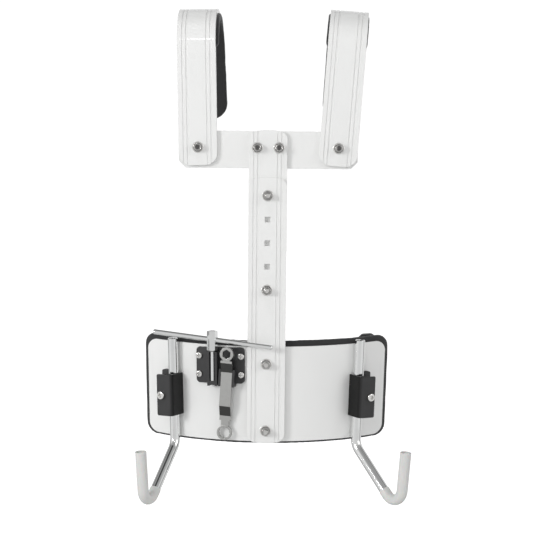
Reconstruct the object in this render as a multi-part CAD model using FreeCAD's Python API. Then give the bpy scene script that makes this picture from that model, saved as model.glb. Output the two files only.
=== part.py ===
import FreeCAD, Part
import math
import os

# Marching snare drum carrier: a shoulder harness that holds a drum at the waist.
# Frame: +X to the drummer's right-hand side of the front view, +Y towards the wearer,
# +Z up. The origin lies between the two shoulder pads, on the underside of their crowns.
# All lengths are in millimetres.

V = FreeCAD.Vector

# --- driving dimensions -------------------------------------------------------------
STRIP_W = 48.0            # width of the extruded strip used for arms and bars
STRIP_T = 5.0             # its thickness
GROOVES = (-17.4, -12.4, 12.4, 17.4)   # middle lines of the strip's long grooves
GROOVE_W = 2.2
GROOVE_DEPTH = 0.5

PAD_T = 9.0               # shoulder foam thickness
PAD_W = 52.0
CROWN_R = 50.0            # outer radius of the arm over the shoulder
CROWN_TOP = STRIP_T + PAD_T
CROWN_Z = CROWN_TOP - CROWN_R
REAR_FLARE = 20.0         # degrees that the rear leg leans back
REAR_LEG = 102.0
ARM_SKEW = 0.05           # sideways set of the bent strip for each mm towards the back
FRONT_Y = -CROWN_R        # front face of the arms and of the upper bar

PIVOT_X = 88.0
PIVOT_Z = -163.0
ARM_LOW = -185.5
ARM_LEAN = {"left": -1.3, "right": 3.9}    # degrees outward at rest, about +Y

CROSS_LEN = 224.0
CROSS_T = 4.0
CROSS_TOP = -142.0
CROSS_LOW = -188.5

UPPER_TOP = -141.0
UPPER_LOW = -371.5
TOP_BOLT_X = 13.6

LOWER_TOP = -199.5
LOWER_LOW = -535.5
BAR_FRONT_Y = FRONT_Y - STRIP_T
HOLE_PITCH = 29.6
SPINE_BOLT_Z = (-222.7, -341.1)
SPARE_HOLE_Z = tuple(SPINE_BOLT_Z[0] - HOLE_PITCH * step for step in (1, 2, 3))
PLATE_BOLT_Z = (-434.7, -519.7)
SLIDE_UP = 15.0           # height adjustment of the lower frame
SLIDE_DOWN = 20.0

BOLT_R = 3.0              # M6
BOLT_HOLE_R = 3.05
SQUARE_NECK = 6.3
SQUARE_HOLE = 6.8
HEAD_R = 7.2
HEAD_T = 2.6
NUT_AF = 10.0
FLANGE_R = 7.1

PLATE_R = 230.0           # front face of the belly plate at mid height
PLATE_T = 2.5
PLATE_TOP_HALF = 155.8    # half widths of the plate, seen from the front
PLATE_LOW_HALF = 152.6
PLATE_MID_Z = -473.5
PLATE_CONE = 3.4          # degrees: the plate is rolled as part of a cone
FOAM_FRONT_T = 5.0
FOAM_REAR_T = 10.0

CLAMP_ANGLE = 29.8        # degrees round the plate
CLAMP_Z = -477.5
CLAMP_H = 53.0
CLAMP_DEPTH = 26.5
CLAMP_WALL = 1.6
ROD_OUT = 7.8             # rod centre in front of the plate
ROD_R = 6.5
BUSH_R = 7.3
CLAMP_INNER = -(BUSH_R + 0.1 + CLAMP_WALL)
CLAMP_OUTER = 13.6
CLAMP_SCREW_T = 6.3
JAW_TAB_OUT = 19.0        # the jaw's foot reaches past the cover

ROD_TOP = 72.0            # above the middle of the clamp, along the rod
ROD_BEND = -64.6
HOOK_REACH = 82.6
HOOK_DROP = -137.5
STUB_REACH = 87.6
STUB_TOP = -60.0
SLEEVE_R = 7.0
SLEEVE_RISE = 7.0         # sleeve past the lowest bend, up the sloping run
HOOK_BEND_R = 15.0
HOOK_TURN = {"left": -5.8, "right": 11.2}   # degrees outward from the plate's normal

HOLDER_ANGLE = -14.5
HOLDER_Z = -437.8
HOLDER_W = 63.5
HOLDER_H = 46.0
HOLDER_T = 2.6
KEY_T = -7.6              # key axis, sideways from the middle of the holder
KEY_OUT = 9.6             # key axis in front of the plate
BARREL_AF = 12.0
KEY_TOP = 44.5            # heights along the key, from the holder's middle
BARREL_LOW = 18.2
KEY_BAR_Z = 33.4
STEM_LOW = -18.9
STEM_R = 2.6
KEY_BAR_R = 3.3
KEY_BAR_LEN = 158.5
KEY_BAR_TILT = 6.0
WRENCH_T = 13.4
WRENCH_TOP_Z = 16.2       # middle of the upper ring, above the holder's middle
WRENCH_TILT = 4.0         # degrees that the wrench leans in its holder
WRENCH_W = 14.6
WRENCH_THICK = 3.2


# --- general helpers ----------------------------------------------------------------
def save(node, *solids):
    """Write one node: a single solid, or a group of separate solids."""
    shape = solids[0] if len(solids) == 1 else Part.makeCompound(list(solids))
    shape.exportStep("parts/%s.step" % node)


def box(x0, x1, y0, y1, z0, z1):
    return Part.makeBox(x1 - x0, y1 - y0, z1 - z0, V(x0, y0, z0))


def rod_y(x, y0, y1, z, radius):
    """A cylinder along Y."""
    return Part.makeCylinder(radius, y1 - y0, V(x, y0, z), V(0, 1, 0))


def hex_y(x, y0, y1, z, across_flats):
    """A hexagonal prism along Y, flats up and down."""
    corner_r = across_flats / 2 / math.cos(math.radians(30))
    angles = [math.radians(30 + 60 * side) for side in range(7)]
    corners = [V(x + corner_r * math.sin(a), y0, z + corner_r * math.cos(a)) for a in angles]
    return Part.Face(Part.makePolygon(corners)).extrude(V(0, y1 - y0, 0))


def fillet_where(solid, radius, wanted):
    edges = [edge for edge in solid.Edges if wanted(edge)]
    return solid.makeFillet(radius, edges)


def along(edge, direction):
    """True for a straight edge that runs in the direction."""
    if not isinstance(edge.Curve, Part.Line):
        return False
    return abs(abs(edge.Curve.Direction.dot(direction)) - 1) < 1e-4


def mirrored(solid):
    return solid.mirror(V(0, 0, 0), V(1, 0, 0))


# --- arms and their pads ------------------------------------------------------------
def skewed_slab(middle, half_width):
    """Upright slab whose sides follow the slight sideways set of the arms."""
    def corner(x, y):
        return V(middle + x + ARM_SKEW * (y - FRONT_Y), y, -260)

    corners = [corner(-half_width, -80), corner(half_width, -80), corner(half_width, 130),
               corner(-half_width, 130), corner(-half_width, -80)]
    return Part.Face(Part.makePolygon(corners)).extrude(V(0, 0, 320))


def loop_band(inner_r, outer_r, front_low, rear_len, half_width, middle=0.0):
    """Part of the arm's bent strip, between two radii measured at the crown."""
    flare = math.radians(REAR_FLARE)
    out_dir = V(0, math.cos(flare), math.sin(flare))
    down = V(0, math.sin(flare), -math.cos(flare)) * rear_len
    centre = V(0, 0, CROWN_Z)
    shift = V(-60, 0, 0)

    def side(radius):
        top = centre + V(0, 0, radius)
        front = centre - V(0, radius, 0)
        rear = centre + out_dir * radius
        return V(0, -radius, front_low), front, top, rear, rear + down

    outer = side(outer_r)
    inner = side(inner_r)
    edges = [Part.makeLine(outer[0], outer[1]), Part.Arc(*outer[1:4]).toShape()]
    edges.append(Part.makeLine(outer[3], outer[4]))
    edges.append(Part.makeLine(outer[4], inner[4]))
    edges.append(Part.makeLine(inner[4], inner[3]))
    edges.append(Part.Arc(inner[3], inner[2], inner[1]).toShape())
    edges.append(Part.makeLine(inner[1], inner[0]))
    edges.append(Part.makeLine(inner[0], outer[0]))
    face = Part.Face(Part.Wire(edges))
    face.translate(shift)
    return face.extrude(V(120, 0, 0)).common(skewed_slab(middle, half_width))


def rounded_ends(band, front_radius, rear_radius):
    """Round the corners of both ends of a bent strip."""
    flare = math.radians(REAR_FLARE)
    across = V(ARM_SKEW * math.cos(flare), math.cos(flare), math.sin(flare)).normalize()
    forward = V(ARM_SKEW, 1, 0).normalize()

    def at_front(edge):
        return along(edge, forward) and edge.CenterOfMass.y < 0

    def at_rear(edge):
        return along(edge, across) and edge.CenterOfMass.y > 0

    band = fillet_where(band, front_radius, at_front)
    return fillet_where(band, rear_radius, at_rear)


def arm(side):
    strip = loop_band(CROWN_R - STRIP_T, CROWN_R, ARM_LOW, REAR_LEG, STRIP_W / 2)
    strip = rounded_ends(strip, 15.0, 15.0)
    for middle in GROOVES:
        groove = loop_band(CROWN_R - GROOVE_DEPTH, CROWN_R + 1, ARM_LOW - 1, REAR_LEG + 1,
                           GROOVE_W / 2, middle)
        strip = strip.cut(groove)
    strip = strip.cut(rod_y(0, FRONT_Y - 1, FRONT_Y + STRIP_T + 1, PIVOT_Z, BOLT_HOLE_R))
    return lean(strip, side)


def shoulder_pad(side):
    pad = loop_band(CROWN_R - STRIP_T - PAD_T, CROWN_R - STRIP_T, CROWN_Z - 4, REAR_LEG + 3,
                    PAD_W / 2)
    return lean(rounded_ends(pad, 8.0, 22.0), side)


def lean(solid, side):
    """Turn an arm about its pivot and put it on its side of the harness."""
    sign = 1 if side == "right" else -1
    solid.rotate(V(0, 0, PIVOT_Z), V(0, 1, 0), ARM_LEAN[side])
    solid.translate(V(sign * PIVOT_X, 0, 0))
    return solid


# --- bars ---------------------------------------------------------------------------
def bar(front_y, low, top, corner, crown):
    """A straight strip with slightly crowned, round-cornered ends."""
    half = STRIP_W / 2
    points = [V(-half, front_y, low + crown), V(0, front_y, low), V(half, front_y, low + crown),
              V(half, front_y, top - crown), V(0, front_y, top), V(-half, front_y, top - crown)]
    edges = [Part.Arc(points[0], points[1], points[2]).toShape()]
    edges.append(Part.makeLine(points[2], points[3]))
    edges.append(Part.Arc(points[3], points[4], points[5]).toShape())
    edges.append(Part.makeLine(points[5], points[0]))
    solid = Part.Face(Part.Wire(edges)).extrude(V(0, STRIP_T, 0))
    solid = fillet_where(solid, corner, lambda edge: along(edge, V(0, 1, 0)))
    for middle in GROOVES:
        solid = solid.cut(box(middle - GROOVE_W / 2, middle + GROOVE_W / 2, front_y - 1,
                              front_y + GROOVE_DEPTH, low - 1, top + 1))
    return solid


def square_hole(solid, x, z, y0, y1):
    half = SQUARE_HOLE / 2
    return solid.cut(box(x - half, x + half, y0 - 1, y1 + 1, z - half, z + half))


def upper_bar():
    solid = bar(FRONT_Y, UPPER_LOW, UPPER_TOP, 11.0, 3.0)
    for x in (-TOP_BOLT_X, TOP_BOLT_X):
        solid = solid.cut(rod_y(x, FRONT_Y - 1, FRONT_Y + STRIP_T + 1, PIVOT_Z, BOLT_HOLE_R))
    half = SQUARE_HOLE / 2
    for z in SPINE_BOLT_Z:
        slot = box(-half, half, FRONT_Y - 1, FRONT_Y + STRIP_T + 1,
                   z - SLIDE_DOWN - half, z + SLIDE_UP + half)
        solid = solid.cut(slot)
    return solid


def lower_bar():
    solid = bar(BAR_FRONT_Y, LOWER_LOW, LOWER_TOP, 11.0, 3.0)
    for z in SPINE_BOLT_Z + SPARE_HOLE_Z + PLATE_BOLT_Z:
        solid = square_hole(solid, 0, z, BAR_FRONT_Y, FRONT_Y)
    return solid


def crossbar():
    half = CROSS_LEN / 2
    back_y = FRONT_Y + STRIP_T + CROSS_T
    solid = box(-half, half, FRONT_Y + STRIP_T, back_y, CROSS_LOW, CROSS_TOP)

    def low_corner(edge):
        return along(edge, V(0, 1, 0)) and edge.CenterOfMass.z < CROSS_LOW + 1

    solid = solid.makeChamfer(8.5, [edge for edge in solid.Edges if low_corner(edge)])
    for x in (-PIVOT_X, -TOP_BOLT_X, TOP_BOLT_X, PIVOT_X):
        solid = square_hole(solid, x, PIVOT_Z, FRONT_Y + STRIP_T, back_y)
    return solid


# --- fasteners ----------------------------------------------------------------------
def carriage_bolt(x, z, head_y, tip_y, neck):
    """Dome head behind, square neck, round shank towards the front."""
    sphere_r = (HEAD_R ** 2 + HEAD_T ** 2) / (2 * HEAD_T)
    dome = Part.makeSphere(sphere_r, V(x, head_y + HEAD_T - sphere_r, z))
    head = dome.common(rod_y(x, head_y, head_y + HEAD_T + 1, z, HEAD_R))
    half = SQUARE_NECK / 2
    square = box(x - half, x + half, head_y - neck, head_y, z - half, z + half)
    shank = rod_y(x, tip_y, head_y, z, BOLT_R)
    tip = [edge for edge in shank.Edges if abs(edge.CenterOfMass.y - tip_y) < 0.01]
    shank = shank.makeChamfer(0.6, tip[:1])
    return head.fuse(square).fuse(shank).removeSplitter()


def flange_nut(x, z, seat_y, collar):
    """Hexagon nut with a round flange; the collar is the locking ring's height."""
    flange = Part.makeCone(FLANGE_R, FLANGE_R - 1.2, 1.6, V(x, seat_y, z), V(0, -1, 0))
    hexagon = hex_y(x, seat_y - 6.0, seat_y - 1.0, z, NUT_AF)
    trim = Part.makeCone(7.4, 4.9, 7.4, V(x, seat_y, z), V(0, -1, 0))
    nut = flange.fuse(hexagon.common(trim))
    ring = rod_y(x, seat_y - 6.0 - collar, seat_y - 5.5, z, 4.4)
    nut = nut.fuse(ring).removeSplitter()
    return nut.cut(rod_y(x, seat_y - 10, seat_y + 1, z, BOLT_HOLE_R))


def bolt_group(places, head_y, tip_y, neck):
    return [carriage_bolt(x, z, head_y, tip_y, neck) for x, z in places]


def nut_group(places, seat_y, collar):
    return [flange_nut(x, z, seat_y, collar) for x, z in places]


# --- belly plate and foam -----------------------------------------------------------
CONE = math.radians(PLATE_CONE)
CONE_AXIS = V(0, math.sin(CONE), math.cos(CONE))
CONE_IN = V(0, math.cos(CONE), -math.sin(CONE))
CONE_CENTRE = V(0, FRONT_Y, PLATE_MID_Z) + CONE_IN * PLATE_R
CONE_SPAN = 120.0         # length of each half of the cones along their axis


def cone_solid(behind):
    """The cone whose surface lies the given depth behind the plate's front face."""
    radius = PLATE_R - behind / math.cos(CONE)
    grow = CONE_SPAN * math.tan(CONE)
    return Part.makeCone(radius - grow, radius + grow, 2 * CONE_SPAN,
                         CONE_CENTRE - CONE_AXIS * CONE_SPAN, CONE_AXIS)


def outline_prism(top_half, low_half, low, top, side_rise, corner):
    """Front outline of the plate, as a prism along Y."""
    y0 = FRONT_Y - 30
    corners = [V(-low_half, y0, low + side_rise / 3), V(0, y0, low),
               V(low_half, y0, low + side_rise / 3), V(top_half, y0, top + side_rise),
               V(0, y0, top), V(-top_half, y0, top + side_rise)]
    edges = [Part.Arc(corners[0], corners[1], corners[2]).toShape()]
    edges.append(Part.makeLine(corners[2], corners[3]))
    edges.append(Part.Arc(corners[3], corners[4], corners[5]).toShape())
    edges.append(Part.makeLine(corners[5], corners[0]))
    solid = Part.Face(Part.Wire(edges)).extrude(V(0, 150, 0))
    return fillet_where(solid, corner, lambda edge: along(edge, V(0, 1, 0)))


def shell(front, back, outline):
    return cone_solid(front).cut(cone_solid(back)).common(outline)


def belly_plate():
    outline = outline_prism(PLATE_TOP_HALF, PLATE_LOW_HALF, PLATE_MID_Z - 60.5, PLATE_MID_Z + 60.5, 3.0, 13.0)
    plate = shell(0, PLATE_T, outline)
    for z in PLATE_BOLT_Z:
        plate = square_hole(plate, 0, z, FRONT_Y - 1, FRONT_Y + PLATE_T + 1)
    for cutter in plate_screw_cutters(1.6):
        plate = plate.cut(cutter)
    return plate


def belly_pad(front, back, margin, corner):
    outline = outline_prism(PLATE_TOP_HALF + margin, PLATE_LOW_HALF + margin, PLATE_MID_Z - 62.5,
                            PLATE_MID_Z + 66.5, 3.0, corner)
    return shell(front, back, outline)


def belly_pad_front():
    pad = belly_pad(PLATE_T, PLATE_T + FOAM_FRONT_T, 2.8, 14.0)
    for z in PLATE_BOLT_Z:
        pad = pad.cut(rod_y(0, FRONT_Y, FRONT_Y + 20, z, HEAD_R + 1.2))
    for cutter in plate_screw_cutters(5.2):
        pad = pad.cut(cutter)
    return pad


def belly_pad_rear():
    front = PLATE_T + FOAM_FRONT_T
    return belly_pad(front, front + FOAM_REAR_T, -5.5, 16.0)


# --- local frames on the plate ------------------------------------------------------
def plate_frame(angle_deg, z):
    """Placement whose -Y leaves the plate's front face and whose Z runs up along it."""
    angle = math.radians(angle_deg)
    sideways = V(1, 0, 0) * math.cos(angle) + CONE_IN * math.sin(angle)
    outward = V(1, 0, 0) * math.sin(angle) - CONE_IN * math.cos(angle)
    up = CONE_AXIS * math.cos(CONE) + outward * math.sin(CONE)
    inward = up.cross(sideways)
    height = (z - PLATE_MID_Z) / up.z
    foot = CONE_CENTRE + outward * PLATE_R
    foot = foot + up * (height + (PLATE_MID_Z - foot.z) / up.z)
    turn = FreeCAD.Rotation(sideways, inward, up, "ZXY")
    return FreeCAD.Placement(foot, turn)


def placed(solid, frame):
    moved = solid.copy()
    moved.Placement = frame.multiply(moved.Placement)
    return moved


CLAMP_FRAME = plate_frame(CLAMP_ANGLE, CLAMP_Z)
HOLDER_FRAME = plate_frame(HOLDER_ANGLE, HOLDER_Z)
JAW_SCREWS = ((5.0, -18.0), (5.0, 18.0))
HOLDER_SCREWS = ((-27.6, -11.7), (-27.6, 11.7), (27.6, -11.7), (27.6, 11.7))


def plate_screw_cutters(radius):
    """Round cutters through the plate for the jaw screws and the holder screws."""
    cutters = []
    for t, z in JAW_SCREWS:
        one = placed(rod_y(t, -4, 12, z, radius), CLAMP_FRAME)
        cutters.extend([one, mirrored(one)])
    for t, z in HOLDER_SCREWS:
        cutters.append(placed(rod_y(t, -4, 12, z, radius), HOLDER_FRAME))
    return cutters


# --- rod clamps, in the clamp's local frame -------------------------------------------
def clamp_cover():
    """Folded steel cover: front wall, round corner, inner wall and a foot on the plate."""
    half = CLAMP_H / 2
    body = box(CLAMP_INNER, CLAMP_OUTER, -CLAMP_DEPTH, -0.4, -half, half)

    def inner_front(edge):
        centre = edge.CenterOfMass
        return along(edge, V(0, 0, 1)) and centre.x < 0 and centre.y < -CLAMP_DEPTH + 1

    body = fillet_where(body, 5.0, inner_front)
    hollow = box(CLAMP_INNER + CLAMP_WALL, CLAMP_OUTER + 1, -CLAMP_DEPTH + CLAMP_WALL, 1,
                 -half - 1, half + 1)
    hollow = fillet_where(hollow, 3.4, lambda edge: along(edge, V(0, 0, 1))
                          and edge.CenterOfMass.x < 0 and edge.CenterOfMass.y < -10)
    body = body.cut(hollow)
    body = fillet_where(body, 2.0, lambda edge: along(edge, V(0, 1, 0))
                        and edge.CenterOfMass.x > 0)
    return body.cut(rod_y(CLAMP_SCREW_T, -CLAMP_DEPTH - 1, 0, 0, BOLT_HOLE_R))


def clamp_jaw():
    """Moulded jaw behind the cover, with a round seat for the rod's bush and a top tab."""
    half = CLAMP_H / 2 - 2
    inner = CLAMP_INNER + CLAMP_WALL + 0.1
    outer = CLAMP_OUTER - 1.4
    front = -CLAMP_DEPTH + CLAMP_WALL
    body = box(inner + 3.5, outer, front, -0.4, -half, half)
    tab = box(5.2, JAW_TAB_OUT, -6.4, -0.4, -half, half + 5.5)
    body = body.fuse(tab).removeSplitter()
    body = fillet_where(body, 2.2, lambda edge: along(edge, V(0, 1, 0))
                        and edge.CenterOfMass.z > half + 4)
    body = body.cut(Part.makeCylinder(BUSH_R + 0.05, CLAMP_H + 20, V(0, -ROD_OUT, -half - 5)))
    body = body.cut(rod_y(CLAMP_SCREW_T, front - 1, -15.4, 0, BOLT_HOLE_R))
    for t, z in JAW_SCREWS:
        body = body.cut(rod_y(t, -1.0, 1.0, z, 1.55))
    return body


def clamp_screw():
    """Socket head screw that pulls the cover onto the rod."""
    head = rod_y(CLAMP_SCREW_T, -CLAMP_DEPTH - 4.2, -CLAMP_DEPTH, 0, 5.1)
    head = fillet_where(head, 1.2, lambda edge: edge.CenterOfMass.y < -CLAMP_DEPTH - 4)
    head = head.cut(hex_y(CLAMP_SCREW_T, -CLAMP_DEPTH - 5, -CLAMP_DEPTH - 1.4, 0, 5.0))
    return head.fuse(rod_y(CLAMP_SCREW_T, -CLAMP_DEPTH, -15.8, 0, BOLT_R)).removeSplitter()


def jaw_screws():
    """Short screws from behind the plate into the jaw."""
    screws = []
    for t, z in JAW_SCREWS:
        head = rod_y(t, PLATE_T + 0.3, PLATE_T + 2.4, z, 3.4)
        screws.append(head.fuse(rod_y(t, -0.95, PLATE_T + 0.3, z, 1.5)).removeSplitter())
    return screws


def rod_bush():
    half = CLAMP_H / 2 - 1.0
    outer = Part.makeCylinder(BUSH_R, 2 * half, V(0, -ROD_OUT, -half))
    return outer.cut(Part.makeCylinder(ROD_R + 0.03, 2 * half + 2, V(0, -ROD_OUT, -half - 1)))


# --- J rods, in the clamp's local frame -----------------------------------------------
def hook_points():
    """Corner points of the rod in its own plane: x is the reach, z is up."""
    return (V(0, 0, ROD_TOP), V(0, 0, ROD_BEND), V(HOOK_REACH, 0, HOOK_DROP),
            V(STUB_REACH, 0, STUB_TOP))


def tangent_arc(before, corner, after, radius):
    """Arc that rounds a corner, with the points where it leaves both runs."""
    to_before = (before - corner).normalize()
    to_after = (after - corner).normalize()
    half_angle = to_before.getAngle(to_after) / 2
    reach = radius / math.tan(half_angle)
    start = corner + to_before * reach
    end = corner + to_after * reach
    middle_dir = (to_before + to_after).normalize()
    centre = corner + middle_dir * (radius / math.sin(half_angle))
    middle = centre - middle_dir * radius
    return start, end, Part.Arc(start, middle, end).toShape()


def j_rod():
    top, bend, low, stub = hook_points()
    start_a, end_a, arc_a = tangent_arc(top, bend, low, 20.0)
    start_b, end_b, arc_b = tangent_arc(bend, low, stub, HOOK_BEND_R)
    path = Part.Wire([Part.makeLine(top, start_a), arc_a, Part.makeLine(end_a, start_b), arc_b,
                      Part.makeLine(end_b, stub)])
    circle = Part.Wire(Part.makeCircle(ROD_R, top, V(0, 0, -1)))
    rod = path.makePipeShell([circle], True, True)
    ends = [edge for edge in rod.Edges
            if (edge.CenterOfMass - top).Length < 0.2 or (edge.CenterOfMass - stub).Length < 0.2]
    return rod.makeChamfer(1.2, ends)


def hook_sleeve():
    """Thin vinyl sleeve over the stub and the lowest bend, open at both ends."""
    top, bend, low, stub = hook_points()
    start, end, arc = tangent_arc(bend, low, stub, HOOK_BEND_R)
    up_slope = (bend - low).normalize()
    up_stub = (stub - low).normalize()

    def tube(radius, extra):
        first = start + up_slope * (SLEEVE_RISE + extra)
        last = stub + up_stub * (1.5 + extra)
        path = Part.Wire([Part.makeLine(first, start), arc, Part.makeLine(end, last)])
        circle = Part.Wire(Part.makeCircle(radius, first, up_slope))
        return path.makePipeShell([circle], True, True)

    return tube(SLEEVE_R, 0).cut(tube(ROD_R + 0.02, 2))


def hook_placed(solid, side):
    """Swing a hook about its rod and put it into the clamp on its side."""
    moved = solid.copy()
    moved.rotate(V(0, 0, 0), V(0, 0, 1), HOOK_TURN[side] - 90)
    moved.translate(V(0, -ROD_OUT, 0))
    moved = placed(moved, CLAMP_FRAME)
    if side == "left":
        return mirrored(moved)
    return moved


def clamp_placed(solid, side):
    moved = placed(solid, CLAMP_FRAME)
    return mirrored(moved) if side == "left" else moved


# --- tool holder, drum key and wrench, in the holder's local frame ------------------------
def wrench_lean(solid):
    """Move a solid to the wrench's place and lean it about the upper ring."""
    moved = solid.copy()
    moved.rotate(V(0, 0, WRENCH_TOP_Z), V(0, 1, 0), WRENCH_TILT)
    moved.translate(V(WRENCH_T, 0, 0))
    return moved


def tool_holder():
    half_w = HOLDER_W / 2
    half_h = HOLDER_H / 2
    outline = box(-half_w, half_w, -30, 30, -half_h, half_h)
    outline = fillet_where(outline, 5.0, lambda edge: along(edge, V(0, 1, 0)))
    outline = placed(outline, HOLDER_FRAME)
    base = cone_solid(-HOLDER_T).cut(cone_solid(0)).common(outline)
    low = -half_h - 2.2
    key_low = box(KEY_T - 3.4, KEY_T + 3.4, -12.2, -1.5, low + 1.5, STEM_LOW)
    high = BARREL_LOW - 0.4
    walls = [box(KEY_T - 6.4, KEY_T - 3.4, -12.2, -1.5, low, high),
             box(KEY_T + 3.4, KEY_T + 6.6, -12.2, -1.5, low, high),
             box(KEY_T - 6.4, KEY_T + 6.6, -4.4, -1.5, low, high),
             key_low]
    grip = WRENCH_W / 2 + 0.4
    for sign in (-1, 1):
        edge_a = sign * grip
        edge_b = sign * (grip + 2.6)
        guide = box(min(edge_a, edge_b), max(edge_a, edge_b), -12.4, -0.6, low - 0.8, -4.0)
        walls.append(wrench_lean(guide))
    walls.append(wrench_lean(box(-grip, grip, -8.7, -0.6, low - 0.8, -14.0)))
    holder = base
    for wall in walls:
        holder = holder.fuse(placed(wall, HOLDER_FRAME))
    holder = holder.cut(cone_solid(0)).removeSplitter()
    for t, z in HOLDER_SCREWS:
        holder = holder.cut(placed(rod_y(t, -8, 4, z, 2.05), HOLDER_FRAME))
    return holder


def holder_face(t):
    """How far the holder's base lies in front of its local origin plane, at t sideways."""
    return -HOLDER_T + PLATE_R - math.sqrt(PLATE_R ** 2 - t ** 2)


def holder_screws():
    """Cross-recess pan head screws."""
    screws = []
    for t, z in HOLDER_SCREWS:
        seat = holder_face(t) - 0.6
        head = rod_y(t, seat - 2.6, seat, z, 4.3)
        head = fillet_where(head, 1.6, lambda edge: edge.CenterOfMass.y < seat - 2.5)
        for across, upright in ((0.5, 2.4), (2.4, 0.5)):
            head = head.cut(box(t - across, t + across, seat - 4, seat - 1.2,
                                z - upright, z + upright))
        shank = rod_y(t, seat, 5.4, z, 1.5)
        screws.append(placed(head.fuse(shank).removeSplitter(), HOLDER_FRAME))
    return screws


def key_placed(solid):
    moved = solid.copy()
    moved.translate(V(KEY_T, -KEY_OUT, 0))
    return placed(moved, HOLDER_FRAME)


def key_bar_axis():
    tilt = math.radians(KEY_BAR_TILT)
    return V(math.cos(tilt), 0, -math.sin(tilt))


def key_bar():
    direction = key_bar_axis()
    start = V(0, 0, KEY_BAR_Z) - direction * (KEY_BAR_LEN / 2)
    solid = Part.makeCylinder(KEY_BAR_R, KEY_BAR_LEN, start, direction)
    ends = [edge for edge in solid.Edges if isinstance(edge.Curve, Part.Circle)]
    return solid.makeFillet(1.8, ends)


def key_barrel():
    """Hexagonal barrel with a square socket above and a cross hole for the bar."""
    hexagon = hex_y(0, -KEY_TOP, -BARREL_LOW, 0, BARREL_AF)
    hexagon.rotate(V(0, 0, 0), V(1, 0, 0), -90)
    hexagon.rotate(V(0, 0, 0), V(0, 0, 1), 15)
    taper = Part.makeCone(4.6, 4.6 + (KEY_TOP - BARREL_LOW), KEY_TOP - BARREL_LOW,
                          V(0, 0, BARREL_LOW))
    barrel = hexagon.common(taper)
    rounding = Part.makeCone(6.5 + (KEY_TOP - BARREL_LOW), 6.2, KEY_TOP - BARREL_LOW,
                             V(0, 0, BARREL_LOW))
    barrel = barrel.common(rounding)
    barrel = barrel.cut(box(-2.9, 2.9, -2.9, 2.9, KEY_TOP - 7.0, KEY_TOP + 1))
    direction = key_bar_axis()
    start = V(0, 0, KEY_BAR_Z) - direction * 20
    barrel = barrel.cut(Part.makeCylinder(KEY_BAR_R + 0.02, 40, start, direction))
    return barrel.cut(Part.makeCylinder(STEM_R + 0.02, 6, V(0, 0, BARREL_LOW - 1)))


def key_stem():
    return Part.makeCylinder(STEM_R, BARREL_LOW + 4.5 - STEM_LOW, V(0, 0, STEM_LOW))


def star_prism(across_flats, points, depth_y0, depth_y1, z):
    """A six or twelve point socket, as hexagons turned against each other."""
    flats_up = hex_y(0, depth_y0, depth_y1, z, across_flats)
    corners_up = flats_up.copy()
    corners_up.rotate(V(0, 0, z), V(0, 1, 0), 30)
    if points == 6:
        return corners_up
    return corners_up.fuse(flats_up)


def ring_wrench():
    """Double-ended ring wrench, stepped back towards the plate at its lower end."""
    half = WRENCH_THICK / 2
    stations = ((-15.6, 7.5), (-15.6, 4.6), (-10.4, -7.6), (-10.4, -51.0), (-5.4, -64.0),
                (-5.4, -70.0))
    front = [V(0, out - half, z) for out, z in stations]
    back = [V(0, out + half, z) for out, z in reversed(stations)]
    outline = front + back + [front[0]]
    strap = Part.Face(Part.makePolygon(outline)).extrude(V(WRENCH_W, 0, 0))
    strap.translate(V(-WRENCH_W / 2, 0, 0))
    top_z = WRENCH_TOP_Z
    low_z = -85.7
    neck = box(-4.6, 4.6, -15.6 - half, -15.6 + half, 5.0, top_z)
    tail = box(-5.0, 5.0, -5.4 - half, -5.4 + half, low_z, -69.5)
    top_ring = rod_y(0, -15.6 - half - 0.6, -15.6 + half + 0.6, top_z, 8.7)
    low_ring = rod_y(0, -5.4 - half - 0.6, -5.4 + half + 0.6, low_z, 9.6)
    wrench = strap.fuse([neck, tail, top_ring, low_ring])
    wrench = wrench.cut(star_prism(10.2, 6, -22, -8, top_z))
    wrench = wrench.cut(star_prism(13.2, 12, -12, 0, low_z))
    return placed(wrench_lean(wrench), HOLDER_FRAME)


# --- build everything -----------------------------------------------------------------
def build_yoke():
    places = [(-TOP_BOLT_X, PIVOT_Z), (TOP_BOLT_X, PIVOT_Z)]
    pivots = [(-PIVOT_X, PIVOT_Z), (PIVOT_X, PIVOT_Z)]
    head_y = FRONT_Y + STRIP_T + CROSS_T
    tip_y = FRONT_Y - 8.2
    save("crossbar", crossbar())
    save("upper_bar", upper_bar())
    save("yoke_bolts", *bolt_group(places, head_y, tip_y, CROSS_T))
    save("yoke_nuts", *nut_group(places, FRONT_Y, 2.6))
    save("arm_pivot_bolts", *bolt_group(pivots, head_y, tip_y, CROSS_T))
    save("arm_pivot_nuts", *nut_group(pivots, FRONT_Y, 2.6))


def build_lower_frame():
    upper_back = FRONT_Y + STRIP_T
    plate_back = FRONT_Y + PLATE_T + 0.15
    tip_y = BAR_FRONT_Y - 11.5
    spine = [(0, z) for z in SPINE_BOLT_Z]
    plate = [(0, z) for z in PLATE_BOLT_Z]
    save("lower_bar", lower_bar())
    save("spine_bolts", *bolt_group(spine, upper_back, tip_y, STRIP_T * 2))
    save("spine_nuts", *nut_group(spine, BAR_FRONT_Y, 2.0))
    save("plate_bolts", *bolt_group(plate, plate_back, tip_y, PLATE_T + STRIP_T))
    save("plate_nuts", *nut_group(plate, BAR_FRONT_Y, 2.0))
    save("belly_plate", belly_plate())
    save("belly_pad_front", belly_pad_front())
    save("belly_pad_rear", belly_pad_rear())
    save("tool_holder", tool_holder())
    save("holder_screws", *holder_screws())


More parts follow.
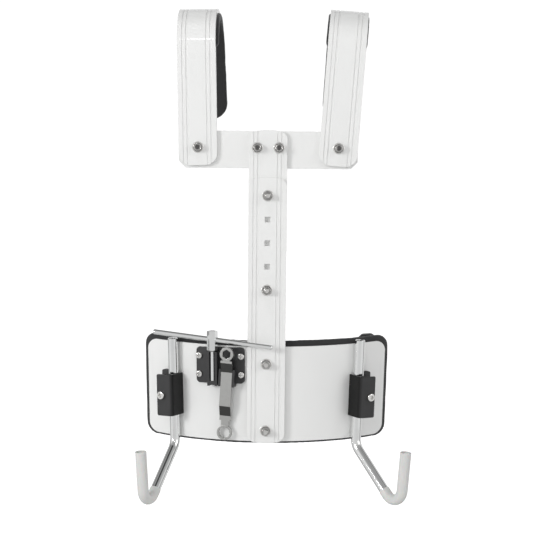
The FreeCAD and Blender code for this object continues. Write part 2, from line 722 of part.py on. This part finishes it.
def build_sides():
    for side in ("left", "right"):
        save("shoulder_arm_" + side, arm(side))
        save("shoulder_pad_" + side, shoulder_pad(side))
        save("clamp_cover_" + side, clamp_placed(clamp_cover(), side))
        save("clamp_jaw_" + side, clamp_placed(clamp_jaw(), side))
        save("clamp_screw_" + side, clamp_placed(clamp_screw(), side))
        save("jaw_screws_" + side, *[clamp_placed(one, side) for one in jaw_screws()])
        save("rod_bush_" + side, clamp_placed(rod_bush(), side))
        save("j_rod_" + side, hook_placed(j_rod(), side))
        save("hook_sleeve_" + side, hook_placed(hook_sleeve(), side))


def build_tools():
    save("key_barrel", key_placed(key_barrel()))
    save("key_bar", key_placed(key_bar()))
    save("key_stem", key_placed(key_stem()))
    save("ring_wrench", ring_wrench())


os.makedirs("parts", exist_ok=True)
build_yoke()
build_lower_frame()
build_sides()
build_tools()
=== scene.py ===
import bpy
import bmesh
import math
from mathutils import Matrix, Vector, noise


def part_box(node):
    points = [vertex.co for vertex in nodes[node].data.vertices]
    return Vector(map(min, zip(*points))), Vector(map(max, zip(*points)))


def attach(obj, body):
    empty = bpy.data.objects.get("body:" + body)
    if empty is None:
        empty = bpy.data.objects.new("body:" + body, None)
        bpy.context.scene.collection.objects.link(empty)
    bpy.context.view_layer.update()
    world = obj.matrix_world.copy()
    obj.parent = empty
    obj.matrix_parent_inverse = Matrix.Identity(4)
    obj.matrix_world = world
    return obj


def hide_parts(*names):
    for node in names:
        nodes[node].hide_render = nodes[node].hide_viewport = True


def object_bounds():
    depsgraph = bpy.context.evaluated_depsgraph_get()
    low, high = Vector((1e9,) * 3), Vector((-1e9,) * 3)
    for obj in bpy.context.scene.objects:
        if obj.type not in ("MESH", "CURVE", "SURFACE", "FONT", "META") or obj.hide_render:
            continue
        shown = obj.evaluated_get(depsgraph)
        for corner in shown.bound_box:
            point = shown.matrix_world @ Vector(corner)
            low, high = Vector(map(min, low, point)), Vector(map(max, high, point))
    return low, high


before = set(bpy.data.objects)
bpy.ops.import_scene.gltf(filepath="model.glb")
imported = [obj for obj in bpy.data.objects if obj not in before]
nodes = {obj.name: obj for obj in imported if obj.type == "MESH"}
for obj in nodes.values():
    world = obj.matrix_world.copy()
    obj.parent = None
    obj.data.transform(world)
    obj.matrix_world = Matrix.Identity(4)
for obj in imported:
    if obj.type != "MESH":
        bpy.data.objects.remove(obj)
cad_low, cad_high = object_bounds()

scene = bpy.context.scene

# --- studio ---------------------------------------------------------------------------
# A pale floor below the hanging carrier, a strong lamp on the left, a broad weaker one on
# the right, two small ones above, and a white surround that is darker in front and has
# dark bands at the sides and overhead, so that bright metal has shape.
FLOOR_DROP = 0.14
FLOOR_SIDE = 6
FLOOR_BACK = 9
FLOOR_GLOW = 0.75
floor_z = cad_low[2] - FLOOR_DROP
floor_mesh = bpy.data.meshes.new("floor")
floor_mesh.from_pydata([(-FLOOR_SIDE, -FLOOR_SIDE, floor_z), (FLOOR_SIDE, -FLOOR_SIDE, floor_z),
                        (FLOOR_SIDE, FLOOR_BACK, floor_z), (-FLOOR_SIDE, FLOOR_BACK, floor_z)],
                       [], [(0, 1, 2, 3)])
floor = bpy.data.objects.new("floor", floor_mesh)
scene.collection.objects.link(floor)
floor.visible_glossy = False


def feed(tree, value, socket):
    """Link a value into a socket, or set it there if it is a plain number or colour."""
    if isinstance(value, bpy.types.NodeSocket):
        tree.links.new(value, socket)
    else:
        socket.default_value = value


def maths(tree, operation, first, second):
    """One sum on two values."""
    node = tree.nodes.new("ShaderNodeMath")
    node.operation = operation
    feed(tree, first, node.inputs[0])
    feed(tree, second, node.inputs[1])
    return node.outputs[0]


def mapped(tree, value, start, end, low=0.0, high=1.0):
    """Values from start to end become values from low to high."""
    node = tree.nodes.new("ShaderNodeMapRange")
    node.inputs["From Min"].default_value = start
    node.inputs["From Max"].default_value = end
    node.inputs["To Min"].default_value = low
    node.inputs["To Max"].default_value = high
    tree.links.new(value, node.inputs["Value"])
    return node.outputs["Result"]


def mixed(tree, share, first, second, blend="MIX"):
    """The first colour where share is 0, the second where it is 1."""
    node = tree.nodes.new("ShaderNodeMix")
    node.data_type = "RGBA"
    node.blend_type = blend
    feed(tree, share, node.inputs[0])
    feed(tree, first, node.inputs[6])
    feed(tree, second, node.inputs[7])
    return node.outputs[2]


def split(tree, vector):
    """The X, Y and Z of a vector."""
    node = tree.nodes.new("ShaderNodeSeparateXYZ")
    tree.links.new(vector, node.inputs[0])
    return node.outputs


def new_material(name):
    """A material with its shader, ready for links."""
    material = bpy.data.materials.new(name)
    material.use_nodes = True
    return material


def shader_of(material):
    return material.node_tree.nodes["Principled BSDF"]


floor_finish = new_material("pale_floor")
floor_tree = floor_finish.node_tree
floor_shader = shader_of(floor_finish)
floor_shader.inputs["Base Color"].default_value = (0.85, 0.85, 0.85, 1)
floor_shader.inputs["Roughness"].default_value = 0.9
floor_shader.inputs["Emission Color"].default_value = (1, 1, 1, 1)
seen_floor = floor_tree.nodes.new("ShaderNodeLightPath")
floor_glow = maths(floor_tree, "MULTIPLY", seen_floor.outputs["Is Camera Ray"], FLOOR_GLOW)
floor_tree.links.new(floor_glow, floor_shader.inputs["Emission Strength"])
floor_mesh.materials.append(floor_finish)


def soft_lamp(name, place, target, size, power):
    """A square area lamp that faces a target."""
    data = bpy.data.lights.new(name, "AREA")
    data.shape = "SQUARE"
    data.size = size
    data.energy = power
    lamp = bpy.data.objects.new(name, data)
    scene.collection.objects.link(lamp)
    lamp.location = place
    aim = Vector(target) - Vector(place)
    lamp.rotation_euler = aim.to_track_quat("-Z", "Y").to_euler()
    return lamp


middle = Vector(((cad_low[0] + cad_high[0]) / 2, 0, (cad_low[2] + cad_high[2]) / 2))
soft_lamp("left_lamp", (-2.1, -1.9, 0.35), middle, size=0.7, power=31)
soft_lamp("right_lamp", (2.4, -1.6, 0.6), middle, size=1.6, power=14)
top_lamp = soft_lamp("top_lamp", (-0.4, -0.9, 1.7), middle, size=0.5, power=5)
top_lamp.visible_glossy = False
LEFT_ARM_CROWN = (-0.09, -0.05, -0.03)
glint = soft_lamp("glint_lamp", (-0.20, -1.90, 0.73), LEFT_ARM_CROWN, size=0.13, power=0.5)
glint.data.shape = "RECTANGLE"
glint.data.size_y = 0.05

world = bpy.data.worlds.new("surround")
scene.world = world
world.use_nodes = True
sky = world.node_tree
sky.nodes.clear()


def grey_ramp(value, stops):
    """Greys along a value, each stop a place and a grey."""
    node = sky.nodes.new("ShaderNodeValToRGB")
    sky.links.new(value, node.inputs[0])
    while len(node.color_ramp.elements) < len(stops):
        node.color_ramp.elements.new(0.5)
    for element, (place, grey) in zip(node.color_ramp.elements, stops):
        element.position = place
        element.color = (grey, grey, grey, 1)
    return node.outputs[0]


direction = split(sky, sky.nodes.new("ShaderNodeTexCoord").outputs["Generated"])
turn = maths(sky, "ARCTAN2", direction["X"], direction["Y"])
# from the front, round the left, the back and the right, to the front again
round_greys = grey_ramp(mapped(sky, turn, -math.pi, math.pi), (
    (0.0, 0.80), (0.10, 0.85), (0.20, 1.0), (0.27, 0.9), (0.33, 0.3), (0.38, 0.9), (0.5, 1.0),
    (0.69, 0.95), (0.725, 0.15), (0.75, 0.85), (0.86, 0.95), (0.93, 0.85), (1.0, 0.80)))
# from straight below to straight above
height_greys = grey_ramp(mapped(sky, direction["Z"], -1, 1), (
    (0.0, 0.75), (0.30, 0.95), (0.44, 1.0), (0.60, 1.0), (0.76, 0.95), (0.86, 0.55),
    (0.965, 0.5), (0.975, 0.10), (1.0, 0.08)))
LIT_STRENGTH = 0.82
SEEN_STRENGTH = 1.05
lit = sky.nodes.new("ShaderNodeBackground")
lit.inputs["Strength"].default_value = LIT_STRENGTH
sky.links.new(mixed(sky, 1, round_greys, height_greys, "MULTIPLY"), lit.inputs["Color"])
seen = sky.nodes.new("ShaderNodeBackground")
seen.inputs["Color"].default_value = (1, 1, 1, 1)
seen.inputs["Strength"].default_value = SEEN_STRENGTH
path_kind = sky.nodes.new("ShaderNodeLightPath")
choose = sky.nodes.new("ShaderNodeMixShader")
sky.links.new(path_kind.outputs["Is Camera Ray"], choose.inputs[0])
sky.links.new(lit.outputs[0], choose.inputs[1])
sky.links.new(seen.outputs[0], choose.inputs[2])
sky_out = sky.nodes.new("ShaderNodeOutputWorld")
sky.links.new(choose.outputs[0], sky_out.inputs["Surface"])
scene.view_settings.view_transform = "Standard"

# --- camera ---------------------------------------------------------------------------
# It stands a metre and a half in front, a little above the carrier's middle, looking down
# slightly through a long lens.
EYE = (0.010, -1.555, -0.2155)
PITCH = math.radians(4.05)
ROLL = math.radians(0.6)
LENS = 78.5
SENSOR = 36
camera_data = bpy.data.cameras.new("camera")
camera_data.lens = LENS
camera_data.sensor_width = SENSOR
camera = bpy.data.objects.new("camera", camera_data)
scene.collection.objects.link(camera)
facing = Matrix.Rotation(math.pi / 2 - PITCH, 4, "X") @ Matrix.Rotation(ROLL, 4, "Z")
camera.matrix_world = Matrix.Translation(EYE) @ facing
scene.camera = camera

# --- finish shared by every surface ---------------------------------------------------
# One node group gives each finish its uneven patches, its fine grain and its edges, so a
# coat, a moulding and a plated rod all have detail at their own scale. The edge mask also
# carries painted light: a painted highlight or painted shade along rounded edges.
EDGE_NONE = 0.995
EDGE_FULL = 0.78
detail = bpy.data.node_groups.new("surface_detail", "ShaderNodeTree")
for socket_name, start in (("Patch Scale", 30.0), ("Grain Scale", 900.0), ("Edge Width", 0.0006)):
    made = detail.interface.new_socket(socket_name, in_out="INPUT", socket_type="NodeSocketFloat")
    made.default_value = start
for socket_name in ("Patch", "Grain", "Edge"):
    detail.interface.new_socket(socket_name, in_out="OUTPUT", socket_type="NodeSocketFloat")
detail.interface.new_socket("Soft Normal", in_out="OUTPUT", socket_type="NodeSocketVector")
group_in = detail.nodes.new("NodeGroupInput")
group_out = detail.nodes.new("NodeGroupOutput")
spot = detail.nodes.new("ShaderNodeTexCoord")
for scale_socket, output, steps in (("Patch Scale", "Patch", 4.0), ("Grain Scale", "Grain", 2.0)):
    unevenness = detail.nodes.new("ShaderNodeTexNoise")
    unevenness.inputs["Detail"].default_value = steps
    detail.links.new(spot.outputs["Object"], unevenness.inputs["Vector"])
    detail.links.new(group_in.outputs[scale_socket], unevenness.inputs["Scale"])
    detail.links.new(unevenness.outputs["Fac"], group_out.inputs[output])
rounding = detail.nodes.new("ShaderNodeBevel")
rounding.samples = 4
detail.links.new(group_in.outputs["Edge Width"], rounding.inputs["Radius"])
flat = detail.nodes.new("ShaderNodeNewGeometry")
across_edge = detail.nodes.new("ShaderNodeVectorMath")
across_edge.operation = "DOT_PRODUCT"
detail.links.new(rounding.outputs["Normal"], across_edge.inputs[0])
detail.links.new(flat.outputs["Normal"], across_edge.inputs[1])
edge_amount = mapped(detail, across_edge.outputs["Value"], EDGE_NONE, EDGE_FULL)
detail.links.new(edge_amount, group_out.inputs["Edge"])
detail.links.new(rounding.outputs["Normal"], group_out.inputs["Soft Normal"])


def finish(name, colour, rough, patch, grain, edge, metal=0.0, spread=0.06):
    """A finish: patch is (scale, second colour), grain is (scale, height in metres) and
    edge is (width in metres, painted edge tone, share); the edge tone is painted light, a
    painted highlight where it is paler and painted shade where it is darker."""
    material = new_material(name)
    tree = material.node_tree
    shader = shader_of(material)
    marks = tree.nodes.new("ShaderNodeGroup")
    marks.node_tree = detail
    marks.inputs["Patch Scale"].default_value = patch[0]
    marks.inputs["Grain Scale"].default_value = grain[0]
    marks.inputs["Edge Width"].default_value = edge[0]
    patchy = mixed(tree, marks.outputs["Patch"], (*colour, 1), (*patch[1], 1))
    # painted light: rounded edges take the edge tone, a painted highlight or painted shade
    painted_edge_share = maths(tree, "MULTIPLY", marks.outputs["Edge"], edge[2])
    painted_edge_colour = mixed(tree, painted_edge_share, patchy, (*edge[1], 1))
    tree.links.new(painted_edge_colour, shader.inputs["Base Color"])
    roughness = mapped(tree, marks.outputs["Patch"], 0.0, 1.0, max(rough - spread, 0.02),
                       rough + spread)
    tree.links.new(roughness, shader.inputs["Roughness"])
    bump = tree.nodes.new("ShaderNodeBump")
    bump.inputs["Distance"].default_value = grain[1]
    tree.links.new(marks.outputs["Grain"], bump.inputs["Height"])
    tree.links.new(marks.outputs["Soft Normal"], bump.inputs["Normal"])
    tree.links.new(bump.outputs["Normal"], shader.inputs["Normal"])
    shader.inputs["Metallic"].default_value = metal
    return material


def paint(material, *names):
    """Give CAD nodes their finish."""
    for name in names:
        for place in nodes[name].material_slots:
            place.material = material


# --- white strips: arms, bars and belly plate -----------------------------------------
# Extruded strip with two pairs of long grooves, and a rolled sheet for the belly, taken
# to be alloy. All are in gloss white powder coat, a little uneven, with a painted highlight
# that makes the edges and groove rims paler.
white_coat = finish("white_powder_coat", (0.845, 0.847, 0.839), 0.24,
                    patch=(14.0, (0.815, 0.818, 0.81)), grain=(350.0, 0.000006),
                    edge=(0.0009, (0.90, 0.90, 0.89), 0.6), spread=0.05)
shader_of(white_coat).inputs["Coat Weight"].default_value = 0.8
shader_of(white_coat).inputs["Coat Roughness"].default_value = 0.04
paint(white_coat, "crossbar", "upper_bar", "lower_bar", "shoulder_arm_left",
      "shoulder_arm_right", "belly_plate")

# --- foam: shoulder pads and the two belly layers -------------------------------------
# Black foam with a soft edge, taken to be closed-cell and glued on. Each pad starts from
# its own plain solid, is rebuilt as an even skin and smoothed, and most are then crowned
# where they meet the body.
foam = finish("black_foam", (0.018, 0.018, 0.019), 0.86, patch=(60.0, (0.030, 0.030, 0.031)),
              grain=(1400.0, 0.00025), edge=(0.0016, (0.05, 0.05, 0.05), 0.5), spread=0.08)
shader_of(foam).inputs["Sheen Weight"].default_value = 0.35
shader_of(foam).inputs["Sheen Roughness"].default_value = 0.5
shader_of(foam).inputs["Specular IOR Level"].default_value = 0.3
FOAM_SKIN = 0.0018
SMOOTH_ROUNDS = 6


def foam_piece(name, node_name, body, shape):
    """Rebuild a plain solid as soft foam; shape moves each vertex."""
    source = nodes[node_name]
    mesh = source.data.copy()
    mesh.name = name
    piece = bpy.data.objects.new(name, mesh)
    scene.collection.objects.link(piece)
    piece.matrix_world = source.matrix_world.copy()
    skin = piece.modifiers.new("skin", "REMESH")
    skin.mode = "VOXEL"
    skin.voxel_size = FOAM_SKIN
    skin.use_smooth_shade = True
    soften = piece.modifiers.new("soften", "SMOOTH")
    soften.factor = 0.5
    soften.iterations = SMOOTH_ROUNDS
    bpy.context.view_layer.update()
    seen_now = piece.evaluated_get(bpy.context.evaluated_depsgraph_get())
    made = bpy.data.meshes.new_from_object(seen_now)
    piece.modifiers.clear()
    piece.data = made
    made.transform(piece.matrix_world)
    piece.matrix_world = Matrix.Identity(4)
    moves = [shape(v.co.copy(), v.normal.copy()) for v in made.vertices]
    for vertex, move in zip(made.vertices, moves):
        vertex.co += move
    made.materials.clear()
    made.materials.append(foam)
    made.shade_smooth()
    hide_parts(node_name)
    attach(piece, body)


def lumps(place, coarse, fine):
    """Unevenness of soft foam; coarse and fine are (scale, height in metres)."""
    return noise.noise(place * coarse[0]) * coarse[1] + noise.noise(place * fine[0]) * fine[1]


CROWN_MIDDLE = Vector((0, 0.006, -0.036))
PIVOT_Z = -0.163
ARM_X = 0.088
SKEW = 0.05
FRONT_FACE = -0.050
HALF_WIDTH = 0.026
PAD_SETS = {"left": 0.0014, "right": -0.0006}
LEANS = {"left": math.radians(-1.3), "right": math.radians(3.9)}
SHOULDER_CROWN = 0.0013


def shoulder_shape(side):
    """A shoulder pad, crowned along its middle on the side that rests on the shoulder."""
    sign = 1 if side == "right" else -1
    lean = LEANS[side]
    glued_off = Vector((PAD_SETS[side], 0, 0))

    def shape(place, normal):
        upright = (place.x - sign * ARM_X) * math.cos(lean) - (place.z - PIVOT_Z) * math.sin(lean)
        off_middle = upright - SKEW * (place.y - FRONT_FACE)
        share = min(abs(off_middle) / HALF_WIDTH, 1)
        if place.z > CROWN_MIDDLE.z:
            inward = Vector((0, CROWN_MIDDLE.y - place.y, CROWN_MIDDLE.z - place.z))
        else:
            inward = Vector((0, 1 if place.y < 0 else -1, 0))
        inner = max(normal.dot(inward.normalized()), 0) ** 2
        lump = lumps(place, (55, 0.00035), (160, 0.00015))
        return normal * (SHOULDER_CROWN * inner * (1 - share ** 3) + lump) + glued_off

    return shape


for side in ("left", "right"):
    foam_piece("shoulder_foam_" + side, "shoulder_pad_" + side, "arm_" + side,
               shoulder_shape(side))

PAD_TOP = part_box("belly_pad_rear")[1].z
PAD_MIDDLE_Z = -0.4715
HALF_PAD_WIDE = 0.147
HALF_PAD_HIGH = 0.066
BELLY_CROWN = 0.0022
RIM_GROWTH = 0.0016
RIM_ENDS_FROM = 0.12
RAISED_BY = 0.0035
RAISED_FROM = (0.119, 0.125)
RAISED_TO = (0.137, 0.147)
RAISED_BELOW_TOP = (0.02, 0.004)


def front_layer(place, normal):
    """The thin layer keeps its rim, which shows as a dark line round the plate."""
    lump = noise.noise(place * 60) * 0.0003
    rim = Vector((normal.x if abs(place.x) > RIM_ENDS_FROM else 0, 0, normal.z))
    return normal * lump + rim * RIM_GROWTH


def step(low, high, value):
    """A soft step from 0 at low to 1 at high."""
    part = min(max((value - low) / (high - low), 0), 1)
    return part * part * (3 - 2 * part)


def rear_layer(place, normal):
    """Crowned towards the belly by guess, with a short stretch that stands up on the right."""
    across = min(abs(place.x) / HALF_PAD_WIDE, 1)
    upward = min(abs(place.z - PAD_MIDDLE_Z) / HALF_PAD_HIGH, 1)
    crown = BELLY_CROWN * max(normal.y, 0) * (1 - across ** 4) * (1 - upward ** 4)
    lump = lumps(place, (45, 0.0005), (140, 0.0002))
    raised = step(*RAISED_FROM, place.x) * (1 - step(*RAISED_TO, place.x))
    near_top = step(PAD_TOP - RAISED_BELOW_TOP[0], PAD_TOP - RAISED_BELOW_TOP[1], place.z)
    lift = RAISED_BY * raised * near_top
    return normal * (crown + lump) + Vector((0, 0, lift))


foam_piece("belly_foam_front", "belly_pad_front", "lower_frame", front_layer)
foam_piece("belly_foam_rear", "belly_pad_rear", "lower_frame", rear_layer)

# --- bolts and nuts -------------------------------------------------------------------
# Bright plated steel: carriage bolts from behind, flanged lock nuts in front. The end of
# each spine and plate bolt that stands out of its nut shows the rings of its thread.
zinc = finish("bright_zinc", (0.93, 0.925, 0.91), 0.20, patch=(220.0, (0.70, 0.69, 0.67)),
              grain=(1600.0, 0.00003), edge=(0.0005, (0.8, 0.79, 0.77), 0.6), metal=1.0,
              spread=0.05)


def lay_painted_shade(material, share, colour, blend="MIX"):
    """Lay painted shade over a finish where share is 1."""
    tree = material.node_tree
    base = shader_of(material).inputs["Base Color"]
    tree.links.new(mixed(tree, share, base.links[0].from_socket, colour, blend), base)


# painted shade: ambient occlusion darkens the bright zinc in recesses, creases and between parts,
# such as round nut flanges and screw heads
RECESS_SHADE_REACH = 0.003
RECESS_SHADE_SHUT = 0.12
RECESS_SHADE_OPEN = 0.42
RECESS_SHADE_GREY = 0.10
recess_shade_ao = zinc.node_tree.nodes.new("ShaderNodeAmbientOcclusion")
recess_shade_ao.inputs["Distance"].default_value = RECESS_SHADE_REACH
recess_shade_ao.samples = 8
painted_recess_shade = mapped(zinc.node_tree, recess_shade_ao.outputs["AO"], RECESS_SHADE_SHUT, RECESS_SHADE_OPEN,
                     low=RECESS_SHADE_GREY)
lay_painted_shade(zinc, 1, painted_recess_shade, "MULTIPLY")
# dark nylon for the rod bushes and the nuts' inserts, also laid on two bands of each nut as painted
# shade
nylon_and_nut_shade = finish("dark_nylon_and_nut_shade", (0.035, 0.035, 0.035), 0.5, patch=(80.0, (0.06, 0.06, 0.058)),
               grain=(700.0, 0.00003), edge=(0.0005, (0.12, 0.12, 0.12), 0.3), spread=0.05)
AROUND = 72
HALF_FLATS = 0.0049
HEX_R = 0.0057
FLANGE_R = 0.0071
BORE_R = 0.00306
# painted shade: bands 4 and 7, the crease where the hex meets the flange and the chamfer at the top
# of the hex, take the dark nylon to stand for shade; band 16, the bore, is the real nylon insert
NYLON_AND_SHADE_BANDS = (4, 7, 16)


def nut_radius(angle, flat_limit):
    """Radius of a six-sided body at an angle, cut back to a round chamfer."""
    sixth = math.radians(60)
    off = (angle + sixth / 2) % sixth - sixth / 2
    return min(HALF_FLATS / math.cos(off), flat_limit)


def nut_mesh(mesh, centre, seat_y, height, turn):
    """Flanged lock nut: each row is (distance from the seat, radius, six-sided or not)."""
    collar = height - 0.0016
    flange = ((0.0, FLANGE_R, 0), (0.0005, FLANGE_R, 0), (0.0008, FLANGE_R - 0.0002, 0),
              (0.0009, 0.0059, 0), (0.0008, 0.0056, 0))
    body = ((0.0009, 0.0052, 1), (0.0012, HEX_R, 1), (collar - 0.0009, HEX_R, 1),
            (collar, 0.0048, 1))
    top = ((collar, 0.0045, 0), (collar - 0.0004, 0.0044, 0), (collar + 0.0008, 0.0043, 0),
           (height - 0.0003, 0.0042, 0), (height, 0.0039, 0), (height - 0.0003, 0.0037, 0))
    inside = ((height - 0.0012, 0.0036, 0), (height - 0.0012, BORE_R, 0), (0.0006, BORE_R, 0))
    rings = []
    for out, radius, six_sided in flange + body + top + inside:
        ring = []
        for k in range(AROUND):
            angle = 2 * math.pi * k / AROUND
            r = nut_radius(angle, radius) if six_sided else radius
            x = centre[0] + r * math.cos(angle + turn)
            z = centre[1] + r * math.sin(angle + turn)
            ring.append(mesh.verts.new((x, seat_y - out, z)))
        rings.append(ring)
    for band, (ring, after) in enumerate(zip(rings, rings[1:] + rings[:1])):
        for k in range(AROUND):
            around = (k + 1) % AROUND
            face = mesh.faces.new((ring[k], ring[around], after[around], after[k]))
            face.smooth = True
            # the listed bands take the second material: painted shade, and the real nylon insert
            face.material_index = 1 if band in NYLON_AND_SHADE_BANDS else 0


def nut_set(name, node_name, centres, seat_y, height, body, turns):
    """The nuts of one CAD node; turns are the guessed angles of their flats, in degrees."""
    mesh = bmesh.new()
    for centre, turn in zip(centres, turns):
        nut_mesh(mesh, centre, seat_y, height, math.radians(turn))
    bmesh.ops.recalc_face_normals(mesh, faces=mesh.faces)
    data = bpy.data.meshes.new(name)
    mesh.to_mesh(data)
    mesh.free()
    data.materials.append(zinc)
    data.materials.append(nylon_and_nut_shade)
    data.set_sharp_from_angle(angle=math.radians(28))
    piece = bpy.data.objects.new(name, data)
    scene.collection.objects.link(piece)
    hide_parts(node_name)
    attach(piece, body)


BAR_FACE = -0.055
YOKE_NUT_X = 0.0136
YOKE_NUT_HEIGHT = 0.0086
BAR_NUT_HEIGHT = 0.008
SPINE_NUT_Z = (-0.2227, -0.3411)
PLATE_NUT_Z = (-0.4347, -0.5197)
nut_set("yoke_lock_nuts", "yoke_nuts", ((-YOKE_NUT_X, PIVOT_Z), (YOKE_NUT_X, PIVOT_Z)),
        FRONT_FACE, YOKE_NUT_HEIGHT, "yoke", (10, 42))
nut_set("pivot_lock_nuts", "arm_pivot_nuts", ((-ARM_X, PIVOT_Z), (ARM_X, PIVOT_Z)),
        FRONT_FACE, YOKE_NUT_HEIGHT, "yoke", (25, 5))
nut_set("spine_lock_nuts", "spine_nuts", [(0, z) for z in SPINE_NUT_Z],
        BAR_FACE, BAR_NUT_HEIGHT, "lower_frame", (15, 50))
nut_set("plate_lock_nuts", "plate_nuts", [(0, z) for z in PLATE_NUT_Z],
        BAR_FACE, BAR_NUT_HEIGHT, "lower_frame", (33, 8))

thread = finish("threaded_zinc", (0.84, 0.83, 0.81), 0.17, patch=(220.0, (0.66, 0.655, 0.64)),
                grain=(1600.0, 0.00003), edge=(0.0004, (0.8, 0.79, 0.77), 0.6), metal=1.0,
                spread=0.08)
THREAD_RINGS = 314.0
THREAD_DEPTH = 0.0004
THREAD_STARTS_Y = -0.052
thread_tree = thread.node_tree
thread_spot = thread_tree.nodes.new("ShaderNodeTexCoord").outputs["Object"]
thread_rings = thread_tree.nodes.new("ShaderNodeTexWave")
thread_rings.bands_direction = "Y"
thread_rings.inputs["Scale"].default_value = THREAD_RINGS
thread_rings.inputs["Distortion"].default_value = 0.0
thread_tree.links.new(thread_spot, thread_rings.inputs["Vector"])
ahead = maths(thread_tree, "LESS_THAN", split(thread_tree, thread_spot)["Y"], THREAD_STARTS_Y)
thread_bump = thread_tree.nodes.new("ShaderNodeBump")
thread_bump.inputs["Distance"].default_value = THREAD_DEPTH
thread_height = maths(thread_tree, "MULTIPLY", thread_rings.outputs["Fac"], ahead)
thread_tree.links.new(thread_height, thread_bump.inputs["Height"])
thread_normal = shader_of(thread).inputs["Normal"]
thread_tree.links.new(thread_normal.links[0].from_socket, thread_bump.inputs["Normal"])
thread_tree.links.new(thread_bump.outputs["Normal"], thread_normal)
paint(thread, "spine_bolts", "plate_bolts")
# painted shade: the yoke and pivot bolts get dark steel so that their ends, sunk in the nuts, read as
# shaded; their heads behind take the same dark colour
shaded_bolt_steel = finish("dark_steel_bolt_shade", (0.16, 0.157, 0.154), 0.3, patch=(260.0, (0.10, 0.098, 0.096)),
               grain=(1600.0, 0.00003), edge=(0.0004, (0.5, 0.49, 0.48), 0.5), metal=1.0,
               spread=0.08)
paint(shaded_bolt_steel, "yoke_bolts", "arm_pivot_bolts")

# --- clamps, bushes and tool holder ---------------------------------------------------
# The clamp covers are taken to be folded steel, the holder and the jaws black mouldings
# and the bushes nylon. The walls of the covers that face the middle are darkened with
# painted shade. The walls of the covers that face the middle are toned darker by eye;
# the reason for it on the real piece is not known.
satin_black = finish("satin_black", (0.022, 0.022, 0.023), 0.36,
                     patch=(70.0, (0.034, 0.034, 0.035)), grain=(900.0, 0.00005),
                     edge=(0.0007, (0.12, 0.12, 0.12), 0.45), spread=0.07)
black_plastic = finish("black_moulding", (0.020, 0.020, 0.021), 0.52,
                       patch=(90.0, (0.030, 0.030, 0.030)), grain=(1500.0, 0.00006),
                       edge=(0.0006, (0.07, 0.07, 0.07), 0.4), spread=0.06)
cover_black = finish("cover_black", (0.040, 0.040, 0.041), 0.40,
                     patch=(70.0, (0.051, 0.051, 0.052)), grain=(900.0, 0.00005),
                     edge=(0.0028, (0.05, 0.05, 0.05), 0.2), spread=0.07)
shader_of(cover_black).inputs["Specular IOR Level"].default_value = 0.22
# painted shade: the cover walls that face the middle are darkened by which way they face
OUTER_WALL = 0.03
INNER_WALL = -0.07
INNER_WALL_SHADE = (0.004, 0.004, 0.004, 1)
cover_tree = cover_black.node_tree
cover_normal = split(cover_tree, cover_tree.nodes.new("ShaderNodeNewGeometry").outputs["True Normal"])
cover_place = split(cover_tree, cover_tree.nodes.new("ShaderNodeTexCoord").outputs["Object"])
outward = maths(cover_tree, "MULTIPLY", cover_normal["X"], cover_place["X"])
lay_painted_shade(cover_black, mapped(cover_tree, outward, OUTER_WALL, INNER_WALL), INNER_WALL_SHADE)
paint(satin_black, "tool_holder")
paint(cover_black, "clamp_cover_left", "clamp_cover_right")
paint(black_plastic, "clamp_jaw_left", "clamp_jaw_right")
paint(nylon_and_nut_shade, "rod_bush_left", "rod_bush_right")
paint(zinc, "holder_screws", "clamp_screw_left", "clamp_screw_right", "jaw_screws_left",
      "jaw_screws_right")

# --- drum hooks -----------------------------------------------------------------------
# Bent steel rod with bright chrome. The pale cover on the stub and the lowest bend is
# taken to be a thin grey vinyl sleeve.
chrome = finish("chrome_plate", (0.93, 0.935, 0.93), 0.07, patch=(40.0, (0.80, 0.81, 0.81)),
                grain=(500.0, 0.000006), edge=(0.0005, (0.9, 0.9, 0.9), 0.4), metal=1.0,
                spread=0.03)
vinyl = finish("grey_vinyl", (0.64, 0.64, 0.625), 0.36, patch=(50.0, (0.70, 0.70, 0.685)),
               grain=(600.0, 0.00006), edge=(0.0004, (0.7, 0.7, 0.69), 0.5), spread=0.06)
shader_of(vinyl).inputs["Subsurface Weight"].default_value = 0.1
shader_of(vinyl).inputs["Subsurface Scale"].default_value = 0.001
paint(chrome, "j_rod_left", "j_rod_right")
paint(vinyl, "hook_sleeve_left", "hook_sleeve_right")

# --- drum key and ring wrench ---------------------------------------------------------
# The key is chromed like the hooks. The wrench is taken to be pressed and tumbled steel,
# which is duller, and its two cranked stretches are darkened with painted shade.
paint(chrome, "key_bar", "key_barrel", "key_stem")
wrench_steel = finish("tumbled_steel", (0.50, 0.50, 0.49), 0.34,
                      patch=(150.0, (0.40, 0.40, 0.39)), grain=(1100.0, 0.00005),
                      edge=(0.0006, (0.7, 0.7, 0.69), 0.6), metal=1.0, spread=0.08)
# painted shade: faces of the cranks that slope down and face the front are darkened
CRANK_SLOPE = (-0.12, -0.26)
FRONT_SIDE = -0.5
CRANK_SHADE = (0.085, 0.085, 0.083, 1)
wrench_tree = wrench_steel.node_tree
slope = split(wrench_tree, wrench_tree.nodes.new("ShaderNodeNewGeometry").outputs["True Normal"])
cranked = mapped(wrench_tree, slope["Z"], *CRANK_SLOPE)
facing_out = maths(wrench_tree, "LESS_THAN", slope["Y"], FRONT_SIDE)
crank_shade_share = maths(wrench_tree, "MULTIPLY", cranked, facing_out)
lay_painted_shade(wrench_steel, crank_shade_share, CRANK_SHADE)
paint(wrench_steel, "ring_wrench")
